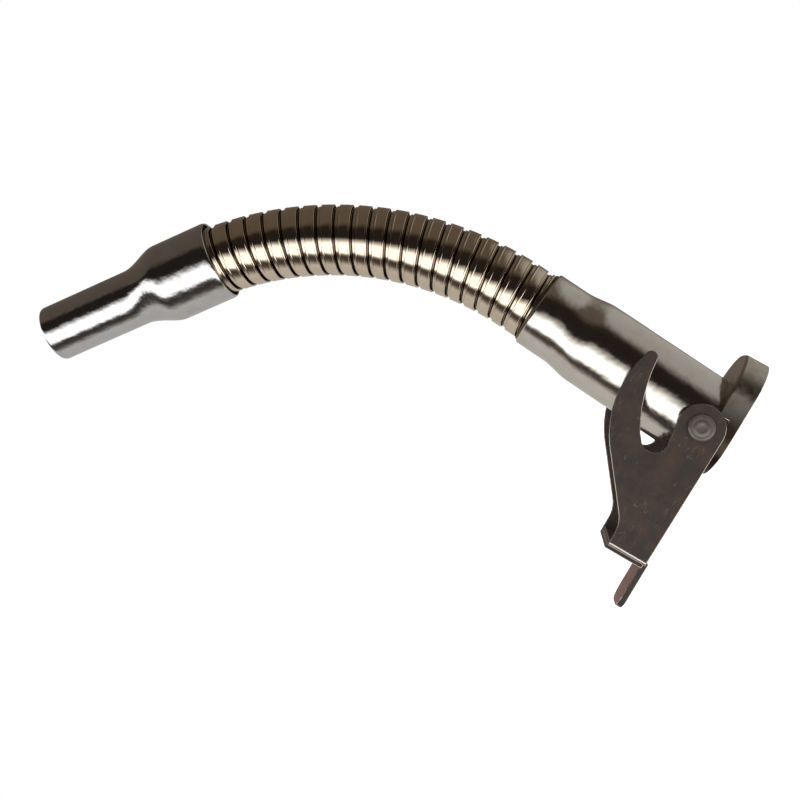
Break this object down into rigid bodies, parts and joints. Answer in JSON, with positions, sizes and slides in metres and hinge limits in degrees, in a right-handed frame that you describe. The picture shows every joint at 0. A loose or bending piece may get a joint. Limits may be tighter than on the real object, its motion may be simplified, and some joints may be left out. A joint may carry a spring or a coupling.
{
  "type": "fuel can spout nozzle",
  "caption": "Flexible metal pouring spout: oval clamp-on mouth cap with a hooked lever, brazed body tube, interlocked metal hose and a tapered outlet nozzle.",
  "frame": {"origin": "centre of the gasket's sealing face, on the axis of the mouth cap", "axes": "+Z leaves the can along the cap's axis, towards the hose; -X towards the lever; +Y along the lever's axle, so the part is alike on both sides of Y=0"},
  "size_m": [0.1535, 0.0512, 0.2993],
  "materials": {
    "cap_steel": "satin zinc-plated pressing",
    "rubber": "moulded fuel-resistant rubber",
    "ear_steel": "zinc-plated strip",
    "body_steel": "drawn tube, satin zinc plate",
    "braze": "braze metal, darkened",
    "strainer_brass": "pressed brass",
    "spring_steel": "blackened spring wire",
    "air_steel": "drawn tube",
    "hose_strip": "nickel-tinted interlocked strip",
    "nozzle_steel": "bright plated steel",
    "lever_steel": "passivated zinc, stained",
    "rivet_steel": "upset rivet steel"
  },
  "bodies": {
    "can_fitting": {"mouth_cap": "cap_steel", "gasket": "rubber", "hinge_ears": "ear_steel", "body_tube": "body_steel", "tube_braze": "braze", "strainer_frame": "strainer_brass", "strainer_gauze": "strainer_brass", "strainer_clip": "spring_steel", "air_tube": "air_steel", "hose_root_turn": "hose_strip", "root_solder": "braze", "pivot_rivets": "rivet_steel", "pivot_washers": "spring_steel"},
    "link_01": {"hose_turn_01": "hose_strip"},
    "link_02": {"hose_turn_02": "hose_strip"},
    "link_03": {"hose_turn_03": "hose_strip"},
    "link_04": {"hose_turn_04": "hose_strip"},
    "link_05": {"hose_turn_05": "hose_strip"},
    "link_06": {"hose_turn_06": "hose_strip"},
    "link_07": {"hose_turn_07": "hose_strip"},
    "link_08": {"hose_turn_08": "hose_strip"},
    "link_09": {"hose_turn_09": "hose_strip"},
    "link_10": {"hose_turn_10": "hose_strip"},
    "link_11": {"hose_turn_11": "hose_strip"},
    "link_12": {"hose_turn_12": "hose_strip"},
    "link_13": {"hose_turn_13": "hose_strip"},
    "link_14": {"hose_turn_14": "hose_strip"},
    "link_15": {"hose_turn_15": "hose_strip"},
    "link_16": {"hose_turn_16": "hose_strip"},
    "link_17": {"hose_turn_17": "hose_strip"},
    "link_18": {"hose_turn_18": "hose_strip"},
    "link_19": {"hose_turn_19": "hose_strip"},
    "link_20": {"hose_turn_20": "hose_strip"},
    "nozzle_end": {"hose_tip_turn": "hose_strip", "tip_bush": "strainer_brass", "tip_solder": "braze", "nozzle": "nozzle_steel"},
    "lever": {"lever_near_arm": "lever_steel", "lever_far_arm": "lever_steel"}
  },
  "joints": [
    {"name": "lever_hinge", "type": "hinge", "parent": "can_fitting", "child": "lever", "pos_m": [-0.0102, 0, 0.0075], "axis": [0, -1, 0], "range_deg": [-65, 100]},
    {"name": "hose_bend_01", "type": "hinge", "parent": "can_fitting", "child": "link_01", "pos_m": [0.0015, 0, 0.09494], "axis": [0, -1, 0], "range_deg": [-4.2, 4.2]},
    {"name": "hose_bend_02", "type": "hinge", "parent": "link_01", "child": "link_02", "pos_m": [0.00213, 0, 0.10266], "axis": [0, -1, 0], "range_deg": [-7.03, 1.37]},
    {"name": "hose_bend_03", "type": "hinge", "parent": "link_02", "child": "link_03", "pos_m": [0.00239, 0, 0.1104], "axis": [0, -1, 0], "range_deg": [-7.03, 1.37]},
    {"name": "hose_sway_04", "type": "hinge", "parent": "link_03", "child": "link_04", "pos_m": [0.00226, 0, 0.11815], "axis": [0.9978, 0, 0.0661], "range_deg": [-3.4, 3.4]},
    {"name": "hose_bend_05", "type": "hinge", "parent": "link_04", "child": "link_05", "pos_m": [0.00174, 0, 0.12589], "axis": [0, -1, 0], "range_deg": [-7.03, 1.37]},
    {"name": "hose_bend_06", "type": "hinge", "parent": "link_05", "child": "link_06", "pos_m": [0.00085, 0, 0.13359], "axis": [0, -1, 0], "range_deg": [-7.03, 1.37]},
    {"name": "hose_bend_07", "type": "hinge", "parent": "link_06", "child": "link_07", "pos_m": [-0.00042, 0, 0.14123], "axis": [0, -1, 0], "range_deg": [-7.03, 1.37]},
    {"name": "hose_sway_08", "type": "hinge", "parent": "link_07", "child": "link_08", "pos_m": [-0.00207, 0, 0.1488], "axis": [0.9654, 0, 0.2607], "range_deg": [-3.4, 3.4]},
    {"name": "hose_bend_09", "type": "hinge", "parent": "link_08", "child": "link_09", "pos_m": [-0.00409, 0, 0.15628], "axis": [0, -1, 0], "range_deg": [-7.03, 1.37]},
    {"name": "hose_bend_10", "type": "hinge", "parent": "link_09", "child": "link_10", "pos_m": [-0.00648, 0, 0.16366], "axis": [0, -1, 0], "range_deg": [-7.03, 1.37]},
    {"name": "hose_bend_11", "type": "hinge", "parent": "link_10", "child": "link_11", "pos_m": [-0.00923, 0, 0.1709], "axis": [0, -1, 0], "range_deg": [-7.03, 1.37]},
    {"name": "hose_sway_12", "type": "hinge", "parent": "link_11", "child": "link_12", "pos_m": [-0.01233, 0, 0.17801], "axis": [0.8955, 0, 0.4451], "range_deg": [-3.4, 3.4]},
    {"name": "hose_bend_13", "type": "hinge", "parent": "link_12", "child": "link_13", "pos_m": [-0.01578, 0, 0.18495], "axis": [0, -1, 0], "range_deg": [-7.03, 1.37]},
    {"name": "hose_bend_14", "type": "hinge", "parent": "link_13", "child": "link_14", "pos_m": [-0.01957, 0, 0.19171], "axis": [0, -1, 0], "range_deg": [-7.03, 1.37]},
    {"name": "hose_bend_15", "type": "hinge", "parent": "link_14", "child": "link_15", "pos_m": [-0.02368, 0, 0.19827], "axis": [0, -1, 0], "range_deg": [-7.03, 1.37]},
    {"name": "hose_sway_16", "type": "hinge", "parent": "link_15", "child": "link_16", "pos_m": [-0.02812, 0, 0.20463], "axis": [0.7907, 0, 0.6122], "range_deg": [-3.4, 3.4]},
    {"name": "hose_bend_17", "type": "hinge", "parent": "link_16", "child": "link_17", "pos_m": [-0.03286, 0, 0.21075], "axis": [0, -1, 0], "range_deg": [-7.03, 1.37]},
    {"name": "hose_bend_18", "type": "hinge", "parent": "link_17", "child": "link_18", "pos_m": [-0.03791, 0, 0.21664], "axis": [0, -1, 0], "range_deg": [-7.03, 1.37]},
    {"name": "hose_bend_19", "type": "hinge", "parent": "link_18", "child": "link_19", "pos_m": [-0.04323, 0, 0.22227], "axis": [0, -1, 0], "range_deg": [-7.03, 1.37]},
    {"name": "hose_sway_20", "type": "hinge", "parent": "link_19", "child": "link_20", "pos_m": [-0.04883, 0, 0.22763], "axis": [0.6551, 0, 0.7555], "range_deg": [-3.4, 3.4]},
    {"name": "hose_bend_21", "type": "hinge", "parent": "link_20", "child": "nozzle_end", "pos_m": [-0.05468, 0, 0.23271], "axis": [0, -1, 0], "range_deg": [-7.03, 1.37]}
  ]
}
